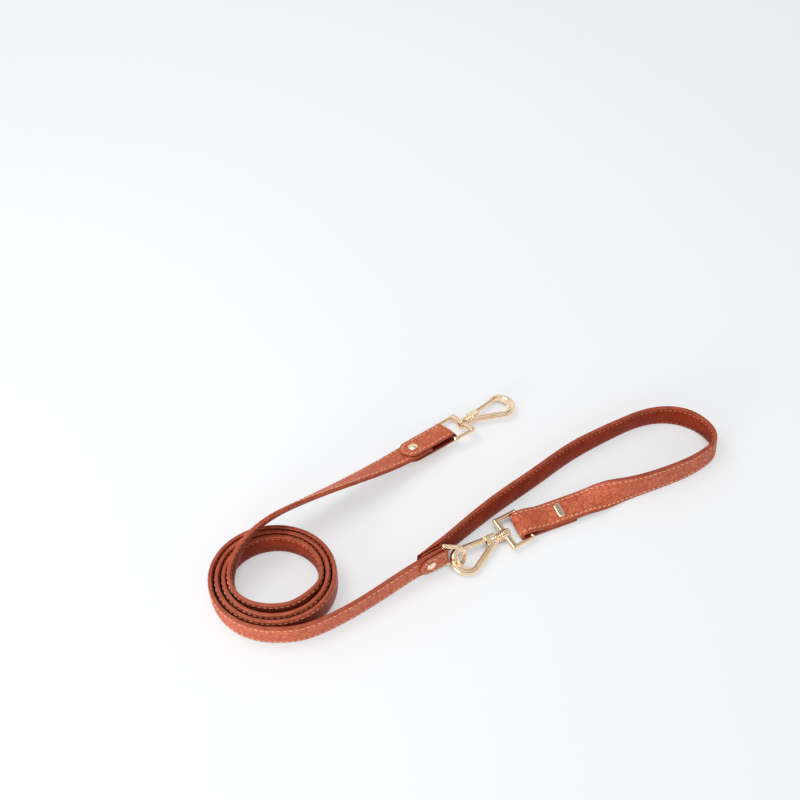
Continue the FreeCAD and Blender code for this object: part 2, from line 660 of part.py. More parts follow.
def swivel_hook(parts, letter, bar, along, eye_side, hook_side):
    """Eye on its bar, hook on the eye's boss, and the hook's gate with pin and spring."""
    boss = bar + along * EYE_DEPTH
    parts["eye_" + letter] = placed(eye_frame(), boss, along, eye_side)
    pieces = {
        "hook_": hook_body, "hook_washer_": swivel_washer, "gate_": gate_solid,
        "gate_pin_": gate_pin, "gate_spring_": gate_spring,
    }
    for name, make in pieces.items():
        parts[name + letter] = placed(make(), boss, along, hook_side)
    normal = along.cross(hook_side)
    pivot = boss + along * GATE_PIVOT[0] + hook_side * GATE_PIVOT[1]
    report_joint("eye_" + letter, bar, eye_side)
    report_joint("hook_" + letter, boss, along)
    report_joint("gate_" + letter, pivot, normal)


def report_joint(name, place, axis):
    """Print where a joint lies, in metres, and its axis."""
    at = [round(c / 1000, 6) for c in place]
    print("joint %s pos_m %s axis %s" % (name, at, [round(c, 6) for c in axis]))


def main():
    parts = {}
    strap_parts(parts)
    ring_parts(parts)
    hook_a_parts(parts)
    hook_b_parts(parts)
    return parts


if __name__ == "__main__":
    os.makedirs("parts", exist_ok=True)
    for name, shape in main().items():
        if not shape.isValid() or len(shape.Solids) != 1:
            print("check", name, shape.isValid(), len(shape.Solids))
        shape.exportStep("parts/%s.step" % name)
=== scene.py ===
import bpy
import math
import numpy as np
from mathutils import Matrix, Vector


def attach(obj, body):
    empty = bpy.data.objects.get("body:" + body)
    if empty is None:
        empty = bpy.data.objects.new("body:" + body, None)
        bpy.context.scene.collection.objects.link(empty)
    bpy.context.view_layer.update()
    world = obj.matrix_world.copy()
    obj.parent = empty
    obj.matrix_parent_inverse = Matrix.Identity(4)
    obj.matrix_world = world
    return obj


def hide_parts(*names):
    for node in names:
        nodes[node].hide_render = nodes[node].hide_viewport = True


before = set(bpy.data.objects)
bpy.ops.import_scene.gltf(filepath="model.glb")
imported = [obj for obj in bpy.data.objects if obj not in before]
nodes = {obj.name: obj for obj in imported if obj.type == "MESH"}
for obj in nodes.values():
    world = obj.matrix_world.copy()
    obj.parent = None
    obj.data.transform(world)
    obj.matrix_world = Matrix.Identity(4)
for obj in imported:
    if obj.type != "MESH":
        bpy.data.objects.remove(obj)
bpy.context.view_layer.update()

# A leather training leash, lying on the table at Z 0. Lengths are in metres, with Z up.
STRAP_WIDTH = 0.020
HALF_WIDTH = STRAP_WIDTH / 2
EDGE_PAINT = 0.0004
OUTER_LEATHER = 0.0020
LINING_LEATHER = 0.0016
STRAP = OUTER_LEATHER + LINING_LEATHER
UP = np.array([0.0, 0.0, 1.0])

# ---------- camera ----------
camera_data = bpy.data.cameras.new("camera")
camera_data.lens = 49.5
camera_data.sensor_width = 36.0
camera = bpy.data.objects.new("camera", camera_data)
camera.location = (-0.0569, -0.4439, 0.7180)
camera.rotation_euler = (math.radians(37.5), 0.0, 0.0)
bpy.context.collection.objects.link(camera)
bpy.context.scene.camera = camera

# ---------- routes ----------
# Control points of each strap's middle line: x, y and z, and its lean in degrees. The lean turns
# the strap's width from upright, positive to the right of travel. The main strap runs from the
# D-ring's tab through the coil to the free hook's tab, and the handle strap from the D-ring's
# tab round the loop to the other hook.
RING_RUN = [
    (-0.0270, -0.0465, 0.0135, 1.0),
    (-0.0418, -0.0554, 0.0135, 1.0),
    (-0.0564, -0.0648, 0.0120, 1.0),
    (-0.0710, -0.0748, 0.0104, 1.0),
    (-0.0864, -0.0856, 0.0100, 0.0),
    (-0.1016, -0.0948, 0.0100, 0.0),
    (-0.1146, -0.1016, 0.0100, 0.0),
    (-0.1265, -0.1056, 0.0100, 0.0),
    (-0.1370, -0.1070, 0.0100, 0.0),
]
HOOK_RUN = [
    (-0.1310, -0.0870, 0.0100, 0.0),
    (-0.1450, -0.0896, 0.0100, 0.0),
    (-0.1595, -0.0880, 0.0100, 0.0),
    (-0.1710, -0.0820, 0.0102, 0.0),
    (-0.1776, -0.0726, 0.0122, 0.0),
    (-0.1784, -0.0620, 0.0170, 2.0),
    (-0.1746, -0.0520, 0.0240, 8.0),
    (-0.1676, -0.0422, 0.0312, 16.0),
    (-0.1580, -0.0316, 0.0336, 24.0),
    (-0.1440, -0.0194, 0.0320, 30.0),
    (-0.1224, -0.0046, 0.0270, 36.0),
    (-0.0950, 0.0136, 0.0204, 48.0),
    (-0.0690, 0.0314, 0.0148, 62.0),
    (-0.0498, 0.0459, 0.0118, 70.0),
    (-0.0374, 0.0551, 0.0106, 70.0),
]
HANDLE_RUN = [
    (-0.0451, -0.05080, 0.0127, -1.0),
    (-0.0336, -0.04386, 0.0127, -1.0),
    (-0.0220, -0.0346, 0.0124, -5.0),
    (-0.0032, -0.0162, 0.0110, -8.5),
    (0.0184, 0.0030, 0.0102, -9.5),
    (0.0456, 0.0234, 0.0102, -9.5),
    (0.0748, 0.0476, 0.0102, -9.0),
    (0.1012, 0.0634, 0.0101, -4.0),
    (0.1194, 0.0732, 0.0101, -1.0),
    (0.1336, 0.0802, 0.0100, 0.0),
    (0.1480, 0.0842, 0.0100, 0.0),
    (0.1624, 0.0844, 0.0100, 0.0),
    (0.1750, 0.0804, 0.0100, 0.0),
    (0.1854, 0.0722, 0.0101, 4.0),
    (0.1916, 0.0612, 0.0102, 8.0),
    (0.1896, 0.0504, 0.0102, 10.0),
    (0.1786, 0.0410, 0.0102, 10.0),
    (0.1624, 0.0314, 0.0102, 10.0),
    (0.1350, 0.0202, 0.0102, 11.0),
    (0.1180, 0.0144, 0.0102, 18.0),
    (0.1068, 0.0114, 0.0096, 36.0),
    (0.0968, 0.0088, 0.0074, 64.0),
    (0.0863, 0.0056, 0.0055, 89.0),
    (0.0753, 0.0012, 0.0055, 90.0),
]
# The folded end of the handle strap round its hook's bar: distance from the fold's middle
# away from the hook, and height above the bar's middle.
FOLD_MIDDLE = np.array([0.034424, -0.015337, 0.0054])
FOLD_AWAY = np.array([0.9272, 0.3746, 0.0])
FOLD_ACROSS = np.array([-0.3746, 0.9272, 0.0])
FOLD_RUN = [
    (0.0300, 0.00005),
    (0.0160, 0.00005),
    (0.0085, 0.0026),
    (0.0035, 0.0037),
    (-0.0037, 0.0037),
    (-0.0037, -0.0036),
    (0.0035, -0.0036),
    (0.0150, -0.0036),
    (0.0300, -0.0036),
    (0.0420, -0.0036),
]

# ---------- the coil's turns ----------
COIL_MIDDLE = (-0.1468, -0.0651)
COIL_FIRST = -98.0
COIL_LAST = -1112.0
COIL_STEP = 20.0
COIL_HALF_X = 0.0464
COIL_HALF_Y = 0.0423
COIL_PITCH_X = 0.0049        # how much nearer the middle each turn lies than the one outside it
COIL_PITCH_Y = 0.0046
COIL_DRIFT = 0.0005          # each turn's middle lies this much further back
ON_EDGE = HALF_WIDTH         # height of the middle of a strap that stands on its edge


def coil_turns():
    """Control points of the coil's clockwise turns, each turn inside the one before it.

    The turns are counted from the coil's left for its width and from its front for its depth."""
    turns = []
    angle = COIL_FIRST
    while angle > COIL_LAST:
        done_x = (-180.0 - angle) / 360.0
        done_y = (-90.0 - angle) / 360.0
        half_x = COIL_HALF_X - COIL_PITCH_X * done_x
        half_y = COIL_HALF_Y - COIL_PITCH_Y * done_y
        x = COIL_MIDDLE[0] + half_x * math.cos(math.radians(angle))
        y = COIL_MIDDLE[1] + COIL_DRIFT * done_y + half_y * math.sin(math.radians(angle))
        turns.append((x, y, ON_EDGE, 0.0))
        angle -= COIL_STEP
    return turns


def across_at(points, leans):
    """Direction of the strap's width at each control point, from its lean."""
    across = []
    for i in range(len(points)):
        ahead = points[min(i + 1, len(points) - 1)] - points[max(i - 1, 0)]
        travel = ahead / np.linalg.norm(ahead)
        right = np.cross(travel, UP)
        right /= np.linalg.norm(right)
        above = np.cross(right, travel)
        lean = math.radians(leans[i])
        across.append(above * math.cos(lean) + right * math.sin(lean))
    return np.array(across)


SPLINE_STEPS = 14            # points read from each stretch between control points


def spline_points(name, controls):
    """Points read from the NURBS spline of these control points."""
    curve = bpy.data.curves.new(name, "CURVE")
    curve.dimensions = "3D"
    curve.resolution_u = SPLINE_STEPS
    spline = curve.splines.new("NURBS")
    spline.points.add(len(controls) - 1)
    for point, place in zip(spline.points, controls):
        point.co = (place[0], place[1], place[2], 1.0)
    spline.order_u = 3
    spline.use_endpoint_u = True
    spline.resolution_u = SPLINE_STEPS
    holder = bpy.data.objects.new(name, curve)
    bpy.context.collection.objects.link(holder)
    graph = bpy.context.evaluated_depsgraph_get()
    mesh = bpy.data.meshes.new_from_object(holder.evaluated_get(graph))
    read = np.array([v.co[:] for v in mesh.vertices])
    bpy.data.objects.remove(holder)
    bpy.data.curves.remove(curve)
    bpy.data.meshes.remove(mesh)
    return read


def unit(rows):
    return rows / np.linalg.norm(rows, axis=1)[:, None]


STATION_STEP = 0.00045
SMOOTHED = 9                 # stations averaged for the direction of travel


class Line:
    """Even stations along a strap: place, travel, across and face directions."""

    def __init__(self, middle, edge):
        """middle and edge are points read from the splines of the strap's middle and one edge."""
        gaps = np.linalg.norm(np.diff(middle, axis=0), axis=1)
        run = np.concatenate([[0.0], np.cumsum(gaps)])
        self.length = run[-1]
        count = int(round(self.length / STATION_STEP)) + 1
        self.at = np.linspace(0.0, self.length, count)
        self.place = np.column_stack([np.interp(self.at, run, middle[:, k]) for k in range(3)])
        side = np.column_stack([np.interp(self.at, run, edge[:, k]) for k in range(3)])
        travel = np.gradient(self.place, axis=0)
        for k in range(3):
            padded = np.pad(travel[:, k], SMOOTHED // 2, "edge")
            travel[:, k] = np.convolve(padded, np.ones(SMOOTHED) / SMOOTHED, "valid")
        self.travel = unit(travel)
        across = side - self.place
        across -= self.travel * np.sum(across * self.travel, axis=1)[:, None]
        self.across = unit(across)
        self.face = np.cross(self.across, self.travel)

    def stations(self, distances):
        """Place, travel, across and face at given distances along the strap."""
        rows = []
        for data in (self.place, self.travel, self.across, self.face):
            rows.append(np.column_stack([np.interp(distances, self.at, data[:, k]) for k in range(3)]))
        return rows[0], unit(rows[1]), unit(rows[2]), unit(rows[3])


def strap_line(name, points, across):
    """Points of a strap's middle and of its upper edge, read from their splines."""
    middle = spline_points(name, points)
    edge = spline_points(name + "_edge", points + across * HALF_WIDTH)
    return middle, edge


main_route = np.array(RING_RUN + coil_turns() + HOOK_RUN)
main_points = main_route[:, :3]
main_across = across_at(main_points, main_route[:, 3])
main_middle, main_edge = strap_line("main_strap_route", main_points, main_across)

handle_route = np.array(HANDLE_RUN)
handle_points = handle_route[:, :3]
handle_across = across_at(handle_points, handle_route[:, 3])
fold_points = np.array([FOLD_MIDDLE + FOLD_AWAY * x + UP * z for x, z in FOLD_RUN])
fold_across = np.array([FOLD_ACROSS] * len(FOLD_RUN))
handle_points = np.vstack([handle_points, fold_points])
handle_across = np.vstack([handle_across, fold_across])
handle_middle, handle_edge = strap_line("handle_strap_route", handle_points, handle_across)

main_line = Line(main_middle, main_edge)
handle_line = Line(handle_middle, handle_edge)


# ---------- the embossed grain ----------
# Cells of two sizes pressed into the leather: length, width and half a groove's width.
SCALES = (0.0062, 0.0060, 0.0011)
PEBBLES = (0.0017, 0.0023, 0.00042)
GROOVE_DEEP = 0.00026
PEBBLE_DEEP = 0.00017
RIB_PITCH = 0.0011
RIB_TALL = 0.00005
CELL_JITTER = 0.38           # how far a cell's centre strays, as a share of the cell
CELL_TABLE = 4096
CELL_KEYS = (73, 911, 5000)


def grain(along, wide, cell, seed):
    """Groove share (0 on a cell, 1 in a groove) and a number per cell, at strap coordinates."""
    cell_long, cell_wide, groove_half = cell
    rng = np.random.default_rng(seed)
    jitter_u = rng.uniform(-CELL_JITTER, CELL_JITTER, CELL_TABLE)
    jitter_v = rng.uniform(-CELL_JITTER, CELL_JITTER, CELL_TABLE)
    tint = rng.uniform(0.0, 1.0, CELL_TABLE)
    u = along / cell_long
    v = wide / cell_wide
    iu = np.floor(u).astype(int)
    iv = np.floor(v).astype(int)
    first = np.full(u.shape, np.inf)
    second = np.full(u.shape, np.inf)
    owner = np.zeros(u.shape)
    for du in (-1, 0, 1):
        for dv in (-2, -1, 0, 1, 2):
            cu = iu + du
            cv = iv + dv
            key = (cu * CELL_KEYS[0] + cv * CELL_KEYS[1] + CELL_KEYS[2]) % CELL_TABLE
            shift = 0.5 * (cu % 2)
            px = cu + 0.5 + jitter_u[key]
            py = cv + shift + jitter_v[key]
            gap = np.hypot(u - px, (v - py) * cell_wide / cell_long)
            nearer = gap < first
            second = np.where(nearer, first, np.minimum(second, gap))
            owner = np.where(nearer, tint[key], owner)
            first = np.where(nearer, gap, first)
    edge = np.clip((second - first) * cell_long / (2 * groove_half), 0.0, 1.0)
    groove = 1.0 - edge * edge * (3.0 - 2.0 * edge)
    return groove, owner


# ---------- mesh helpers ----------
def mesh_object(name, vertices, quads, kinds, materials):
    """Object from arrays of vertices and four-sided faces, kinds being a material number a face."""
    mesh = bpy.data.meshes.new(name)
    mesh.vertices.add(len(vertices))
    mesh.vertices.foreach_set("co", np.asarray(vertices, np.float32).ravel())
    mesh.loops.add(4 * len(quads))
    mesh.loops.foreach_set("vertex_index", np.asarray(quads, np.int32).ravel())
    mesh.polygons.add(len(quads))
    mesh.polygons.foreach_set("loop_start", np.arange(0, 4 * len(quads), 4, dtype=np.int32))
    mesh.update(calc_edges=True)
    for material in materials:
        mesh.materials.append(material)
    mesh.polygons.foreach_set("material_index", np.asarray(kinds, np.int32))
    mesh.polygons.foreach_set("use_smooth", np.full(len(quads), True))
    mesh.update()
    obj = bpy.data.objects.new(name, mesh)
    bpy.context.collection.objects.link(obj)
    return obj


def point_values(obj, name, values):
    """A number a vertex, which a material reads by name."""
    layer = obj.data.attributes.new(name, "FLOAT", "POINT")
    layer.data.foreach_set("value", np.asarray(values, np.float32).ravel())


def strap_uv(obj, u, v):
    """UV map in strap coordinates, one value a vertex."""
    layer = obj.data.uv_layers.new(name="strap")
    corners = np.zeros(len(obj.data.loops), np.int32)
    obj.data.loops.foreach_get("vertex_index", corners)
    pairs = np.column_stack([u.ravel()[corners], v.ravel()[corners]])
    layer.data.foreach_set("uv", pairs.astype(np.float32).ravel())


# ---------- leather strips ----------
FACE_POINTS = 35
EDGE_POINTS = 10
EDGE_ROUND = 0.00075
EDGE_LEAST_FLAT = 0.3        # share of a narrow end's half width that stays flat
EDGE_OUT_POWER = 0.45        # the edge's section is a rounded box, these being its powers
EDGE_UP_POWER = 0.75
EDGE_FLATTEN = 0.0008        # the pressed pattern fades out over this width beside the edge
SEAM_HALF = 0.16             # the two layers' joint in the edge, as shares of the edge's size
SEAM_DEEP = 0.25
ROLL = 0.00042               # how far a face rolls off at its edges
STITCH_INSET = 0.0022
STITCH_CHANNEL = 0.00020
STITCH_PITCH = 0.0040
CHANNEL_HALF = 0.00055
PUCKER = 0.5                 # how much deeper the channel is at a stitch's ends
CROWN = 0.00070              # how far a strap's soft back swells out along its middle
CROWN_FADE = 0.030
PLEAT_PITCH = 0.0026
PLEAT_TALL = 0.00012
PLEAT_AT = 0.0056
PLEAT_HALF = 0.0016
# How much painted shade darkens the leather in each kind of hollow, and how much each size of cell sets
# its tint.
CUT_PAINTED_SHADE = 0.30
PEBBLE_PAINTED_SHADE = 0.55
CHANNEL_PAINTED_SHADE = 0.30
SCALE_TINT = 0.35
PEBBLE_TINT = 0.65
PLAIN_TINT = 0.5
UV_PER_METRE = 10
OUTER_KIND, EDGE_KIND, LINING_KIND = 0, 1, 2


def wave(s, pitch):
    """A cosine along the strap, repeating at a pitch."""
    return np.cos(2 * math.pi * s / pitch)


def hump(distance, half):
    """1 in the middle, falling smoothly to nothing over a few times the half width."""
    return np.exp(-(distance / half) ** 2)


def strip_faces(ring, rows):
    """Four-sided faces and their kinds for rows of section points, closed at both ends."""
    row = np.arange(rows - 1)[:, None] * ring
    column = np.arange(ring)[None, :]
    after = (column + 1) % ring
    quads = np.stack([row + column, row + after, row + ring + after, row + ring + column], -1)
    quads = quads.reshape(-1, 4)
    edge_kinds = np.full(EDGE_POINTS + 1, EDGE_KIND)
    kind_row = np.concatenate([
        np.full(FACE_POINTS - 1, OUTER_KIND), edge_kinds, np.full(FACE_POINTS - 1, LINING_KIND),
        edge_kinds,
    ])
    kinds = np.tile(kind_row, rows - 1)
    order = (np.arange(ring) - EDGE_POINTS // 2) % ring
    front = order[: ring // 2]
    back = order[::-1][: ring // 2]
    cap = np.column_stack([front[:-1], back[:-1], back[1:], front[1:]])
    last = (rows - 1) * ring
    quads = np.vstack([quads, cap, cap[:, ::-1] + last])
    kinds = np.concatenate([kinds, np.full(2 * len(cap), EDGE_KIND)])
    return quads, kinds


def strip(name, at, place, across, face, half, low, high, seam, seed, crown):
    """Leather strip of a given half width at each station, embossed on its high face.

    low, high and seam are face offsets: the two faces and the joint of two layers.
    crown is the share of the back's swelling at each station."""
    rows = len(at)
    share = np.linspace(-1.0, 1.0, FACE_POINTS)
    half = np.broadcast_to(half, (rows,))
    high = np.broadcast_to(high, (rows,))[:, None]
    crown = np.broadcast_to(crown, (rows,))[:, None]
    flat_half = np.maximum(half - EDGE_ROUND, half * EDGE_LEAST_FLAT)

    # the outer face, from left to right
    a = flat_half[:, None] * share[None, :]
    s = np.repeat(at[:, None], FACE_POINTS, 1)
    cut, scale_tint = grain(s, a, SCALES, seed)
    pebble, pebble_tint = grain(s, a, PEBBLES, seed + 1)
    from_edge = half[:, None] - np.abs(a)
    channel = hump(from_edge - STITCH_INSET, CHANNEL_HALF)
    rim = np.clip((from_edge - EDGE_ROUND) / EDGE_FLATTEN, 0.0, 1.0)
    cut = cut * rim
    pebble = pebble * rim
    roll = -ROLL * np.abs(share[None, :]) ** 3
    pucker = channel * (1.0 + PUCKER * wave(s, STITCH_PITCH))
    lift = roll - GROOVE_DEEP * cut - PEBBLE_DEEP * pebble - STITCH_CHANNEL * pucker
    lift = lift + RIB_TALL * np.sin(2 * math.pi * s / RIB_PITCH) * rim
    # painted shade: the colour is darkened in the grooves, between the pebbles and along the stitch
    # channels, where shade falls
    shade = np.clip(CUT_PAINTED_SHADE * cut + PEBBLE_PAINTED_SHADE * pebble + CHANNEL_PAINTED_SHADE * channel, 0.0, 1.0)
    tint = SCALE_TINT * scale_tint + PEBBLE_TINT * pebble_tint

    # the two painted edges, with the layers' joint as a notch
    swing = math.pi * np.linspace(0.0, 1.0, EDGE_POINTS + 2)[1:-1]
    tall = (high - low) / 2 - ROLL
    middle = (high + low) / 2
    bulge = np.abs(np.sin(swing)) ** EDGE_OUT_POWER
    rise = np.sign(np.cos(swing)) * np.abs(np.cos(swing)) ** EDGE_UP_POWER
    notch = hump(rise[None, :] - (seam - middle) / tall, SEAM_HALF)
    paint = half - flat_half + EDGE_PAINT * np.minimum(1.0, half / HALF_WIDTH)
    out = flat_half[:, None] + paint[:, None] * (bulge[None, :] - SEAM_DEEP * notch)
    up = middle + tall * rise[None, :]

    # the lining face, with its swelling and pleats
    swell = CROWN * (1.0 - share[None, :] ** 2) ** 1.5
    pleat = PLEAT_TALL * wave(s, PLEAT_PITCH) * hump(np.abs(a) - PLEAT_AT, PLEAT_HALF)
    back = low - roll + STITCH_CHANNEL * pucker[:, ::-1] - crown * (swell + pleat)

    wide = np.hstack([a, out, a[:, ::-1], -out[:, ::-1]])
    deep = np.hstack([high + lift, up, back, up[:, ::-1]])
    ring = wide.shape[1]
    vertices = (
        place[:, None, :] + across[:, None, :] * wide[:, :, None] + face[:, None, :] * deep[:, :, None]
    )
    quads, kinds = strip_faces(ring, rows)
    obj = mesh_object(name, vertices.reshape(-1, 3), quads, kinds, LEATHERS)
    plain = np.zeros((rows, ring - FACE_POINTS))
    # the groove attribute carries the painted shade of the hollows to the material
    point_values(obj, "groove", np.hstack([shade, plain]))
    point_values(obj, "scale", np.hstack([tint, plain + PLAIN_TINT]))
    section = np.hypot(np.diff(wide[rows // 2]), np.diff(deep[rows // 2]))
    girth = np.concatenate([[0.0], np.cumsum(section)])
    strap_uv(obj, np.repeat(at[:, None], ring, 1) * UV_PER_METRE,
             np.repeat(girth[None, :], rows, 0) * UV_PER_METRE)
    return obj


# ---------- stitches ----------
STITCH_LONG = 0.0031
STITCH_R = 0.00042
STITCH_FLAT = 0.8            # a stitch's height over its width
STITCH_SLANT = 0.10
STITCH_STRAY = 0.06
STITCH_SIDES = 8
STITCH_SEED = 7
# Along one stitch: share of its half length, of its radius, and its height in radii.
STITCH_SHAPE = np.array([
    (-1.0, 0.45, -1.15), (-0.8, 0.9, -0.25), (-0.3, 1.0, 0.25),
    (0.3, 1.0, 0.25), (0.8, 0.9, -0.25), (1.0, 0.45, -1.15),
])


def stitches(name, middles, along, side, out, material):
    """Stitches lying on leather, from their middles and their along, side and out directions."""
    steps, thick, height = STITCH_SHAPE.T
    angles = np.arange(STITCH_SIDES) * 2 * math.pi / STITCH_SIDES
    count = len(middles)
    rng = np.random.default_rng(STITCH_SEED)
    slant = STITCH_SLANT + rng.uniform(-STITCH_STRAY, STITCH_STRAY, count)
    run = unit(along + side * slant[:, None])
    cross = np.cross(out, run)
    body = np.zeros((count, len(steps), STITCH_SIDES, 3))
    body += middles[:, None, None, :]
    body += run[:, None, None, :] * (steps * STITCH_LONG / 2)[None, :, None, None]
    ring_side = thick[:, None] * STITCH_R * np.cos(angles)[None, :]
    ring_out = thick[:, None] * STITCH_R * STITCH_FLAT * np.sin(angles)[None, :]
    ring_out = ring_out + (height * STITCH_R)[:, None]
    body += cross[:, None, None, :] * ring_side[None, :, :, None]
    body += out[:, None, None, :] * ring_out[None, :, :, None]
    per_stitch = len(steps) * STITCH_SIDES
    quads = []
    for k in range(len(steps) - 1):
        for j in range(STITCH_SIDES):
            after = (j + 1) % STITCH_SIDES
            quads.append((k * STITCH_SIDES + j, k * STITCH_SIDES + after,
                          (k + 1) * STITCH_SIDES + after, (k + 1) * STITCH_SIDES + j))
    for base, turn in ((0, -1), (per_stitch - STITCH_SIDES, 1)):
        for j in range(STITCH_SIDES // 2 - 1):
            quad = (base + j, base + j + 1, base + STITCH_SIDES - 2 - j, base + STITCH_SIDES - 1 - j)
            quads.append(quad[::turn])
    quads = np.array(quads)[None, :, :] + (np.arange(count) * per_stitch)[:, None, None]
    quads = quads.reshape(-1, 4)
    obj = mesh_object(name, body.reshape(-1, 3), quads, np.zeros(len(quads)), [material])
    point_values(obj, "scale", np.repeat(rng.uniform(0, 1, count), per_stitch))
    return obj


# ---------- materials ----------
class Nodes:
    """Short calls for building a node material."""

    def __init__(self, name):
        self.material = bpy.data.materials.new(name)
        self.material.use_nodes = True
        self.tree = self.material.node_tree
        self.shader = self.tree.nodes["Principled BSDF"]

    def where(self):
        return self.add("ShaderNodeTexCoord").outputs["Object"]

    def add(self, kind, **inputs):
        made = self.tree.nodes.new(kind)
        self.fill(made, inputs)
        return made

    def fill(self, made, inputs):
        """Set or link inputs by name, with _ for a space, or by number, as i0, i1 and so on."""
        for key, value in inputs.items():
            by_number = key[0] == "i" and key[1:].isdigit()
            self.put(made.inputs[int(key[1:]) if by_number else key.replace("_", " ")], value)

    def put(self, socket, value):
        if isinstance(value, bpy.types.NodeSocket):
            self.tree.links.new(value, socket)
        else:
            socket.default_value = value

    def attribute(self, name):
        made = self.add("ShaderNodeAttribute")
        made.attribute_name = name
        return made.outputs["Fac"]

    def noise(self, vector, scale, detail=3.0, rough=0.55):
        """Cloudy noise; scale is about the number of patches in a metre."""
        made = self.add("ShaderNodeTexNoise", Vector=vector, Scale=scale, Detail=detail, Roughness=rough)
        return made.outputs["Fac"]

    def math(self, operation, a, b=0.0):
        made = self.add("ShaderNodeMath", i0=a, i1=b)
        made.operation = operation
        return made.outputs[0]

    def ramp(self, value, low, high, to_low=0.0, to_high=1.0):
        """The value, clamped from low..high and moved to to_low..to_high."""
        made = self.add("ShaderNodeMapRange", i0=value, i1=low, i2=high, i3=to_low, i4=to_high)
        return made.outputs[0]

    def mix(self, share, a, b):
        made = self.tree.nodes.new("ShaderNodeMix")
        made.data_type = "RGBA"
        self.put(made.inputs[0], share)
        for socket, colour in ((made.inputs[6], a), (made.inputs[7], b)):
            self.put(socket, (*colour, 1.0) if isinstance(colour, tuple) else colour)
        return made.outputs[2]

    def bump(self, height, strength, distance, normal=None):
        made = self.add("ShaderNodeBump", Height=height, Strength=strength, Distance=distance)
        if normal is not None:
            self.tree.links.new(normal, made.inputs["Normal"])
        return made.outputs["Normal"]

    def finish(self, **inputs):
        self.fill(self.shader, inputs)
        return self.material


LEATHER_TOP = (0.68, 0.165, 0.068)
LEATHER_LOW = (0.46, 0.080, 0.028)
# painted shade colour for the grooves and stitch channels, also used for the fine dark specks
LEATHER_SPECK_AND_GROOVE_SHADE = (0.24, 0.030, 0.010)
# painted highlight: pale glint colour scattered over the pressed face
LEATHER_PAINTED_GLINT = (0.78, 0.31, 0.18)
LINING_COLOUR = (0.29, 0.036, 0.010)
LINING_DARK = (0.17, 0.018, 0.005)
EDGE_COLOUR = (0.38, 0.074, 0.031)
EDGE_DARK = (0.25, 0.042, 0.016)
THREAD = (0.85, 0.44, 0.27)
THREAD_DARK = (0.66, 0.28, 0.15)
BROWN_THREAD = (0.50, 0.16, 0.075)
BROWN_THREAD_DARK = (0.34, 0.085, 0.035)
GOLD = (1.0, 0.80, 0.57)
GOLD_WARM = (0.93, 0.67, 0.42)
STEEL = (0.62, 0.60, 0.57)
FLOOR_COLOURS = ((0.345, 0.350, 0.355), (0.355, 0.360, 0.365))
FLOOR_GLOW = (0.975, 0.985, 1.0, 1.0)
FLOOR_GLOW_POWER = 0.53
# painted shade: where leather covers the floor within this reach, the floor's glow is cut off and the
# floor goes dark
GAP_REACH = 0.030            # leather nearer than this counts as covering the floor's sky
BEVEL = 0.0003
BEVEL_SAMPLES = 6


def embossed_leather():
    """Pressed leather: tinted cells, grooves darkened with painted shade, pale spots of painted
    highlight and fine pores.
    """
    n = Nodes("embossed_leather")
    where = n.where()
    groove = n.attribute("groove")
    scale = n.attribute("scale")
    patch = n.ramp(n.noise(where, 90.0, 4.0), 0.38, 0.62)
    speck = n.ramp(n.noise(where, 520.0, 4.0, 0.7), 0.54, 0.66)
    top = n.mix(n.ramp(scale, 0.0, 1.0), LEATHER_LOW, LEATHER_TOP)
    top = n.mix(n.math("MULTIPLY", patch, 0.6), top, LEATHER_LOW)
    # painted highlight: pale spots at random over the cells
    painted_glint = n.ramp(n.noise(where, 900.0, 4.0), 0.54, 0.72, 0.0, 0.45)
    top = n.mix(painted_glint, top, LEATHER_PAINTED_GLINT)
    top = n.mix(n.math("MULTIPLY", speck, 0.55), top, LEATHER_SPECK_AND_GROOVE_SHADE)
    # painted shade: darker in the grooves, pebble seams and stitch channels
    colour = n.mix(n.ramp(groove, 0.1, 1.0, 0.0, 0.85), top, LEATHER_SPECK_AND_GROOVE_SHADE)
    fine = n.noise(where, 2600.0, 5.0, 0.65)
    pores = n.add("ShaderNodeTexVoronoi", Vector=where, Scale=1900.0).outputs["Distance"]
    height = n.math("ADD", n.math("MULTIPLY", fine, 0.6), n.math("MULTIPLY", pores, 0.5))
    rough = n.math("ADD", n.ramp(fine, 0.3, 0.7, 0.34, 0.48), n.math("MULTIPLY", groove, 0.18))
    return n.finish(Base_Color=colour, Roughness=rough, Normal=n.bump(height, 0.35, 0.0001),
                    Specular_IOR_Level=0.38)


def lining_leather():
    """Dark, smooth leather of the straps' backs."""
    n = Nodes("lining_leather")
    where = n.where()
    patch = n.noise(where, 120.0, 4.0)
    colour = n.mix(n.ramp(patch, 0.3, 0.7), LINING_DARK, LINING_COLOUR)
    grain_cells = n.add("ShaderNodeTexVoronoi", Vector=where, Scale=1100.0).outputs["Distance"]
    fine = n.noise(where, 3000.0, 5.0, 0.65)
    height = n.math("ADD", grain_cells, n.math("MULTIPLY", fine, 0.5))
    colour = n.mix(n.ramp(grain_cells, 0.0, 0.6, 0.35, 0.0), colour, LINING_DARK)
    return n.finish(Base_Color=colour, Roughness=n.ramp(fine, 0.3, 0.7, 0.44, 0.6),
                    Normal=n.bump(height, 0.4, 0.00014), Specular_IOR_Level=0.06)


def painted_edge():
    """Paint over the cut edges."""
    n = Nodes("painted_edge")
    where = n.where()
    patch = n.noise(where, 160.0, 4.0)
    colour = n.mix(n.ramp(patch, 0.32, 0.68), EDGE_DARK, EDGE_COLOUR)
    fine = n.noise(where, 1500.0, 4.0)
    return n.finish(Base_Color=colour, Roughness=n.ramp(fine, 0.3, 0.7, 0.34, 0.48),
                    Normal=n.bump(fine, 0.25, 0.00012), Specular_IOR_Level=0.25)


